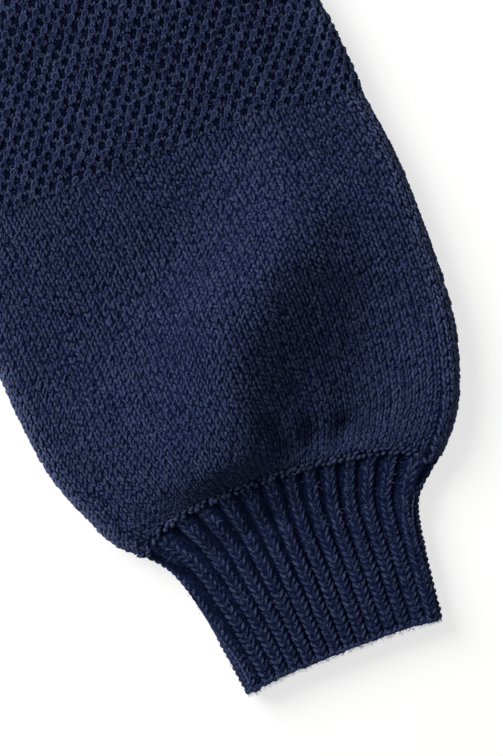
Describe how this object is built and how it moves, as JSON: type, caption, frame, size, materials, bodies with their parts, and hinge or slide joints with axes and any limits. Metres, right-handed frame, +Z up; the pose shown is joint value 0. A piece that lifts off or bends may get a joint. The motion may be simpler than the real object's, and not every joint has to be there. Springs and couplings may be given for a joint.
{
  "type": "oversized sweater",
  "caption": "Oversized chunky-knit crew-neck sweater lying flat, with balloon sleeves gathered into ribbed cuffs.",
  "frame": {"origin": "middle of the bounding box, on the surface that the garment lies on", "axes": "+X towards the wearer's left sleeve, +Y from hem to neck, +Z up off the surface"},
  "size_m": [1.267, 0.66, 0.0412],
  "materials": {
    "knit": "matte chunky wool knit, slightly heathered navy",
    "rib": "matte 1x1 rib knit in the same navy wool"
  },
  "bodies": {
    "root": {"front": "knit", "back": "knit", "sleeve_left": "knit", "sleeve_right": "knit", "cuff_left": "rib", "cuff_right": "rib", "neckband": "rib", "hem_rib": "rib"}
  },
  "joints": []
}
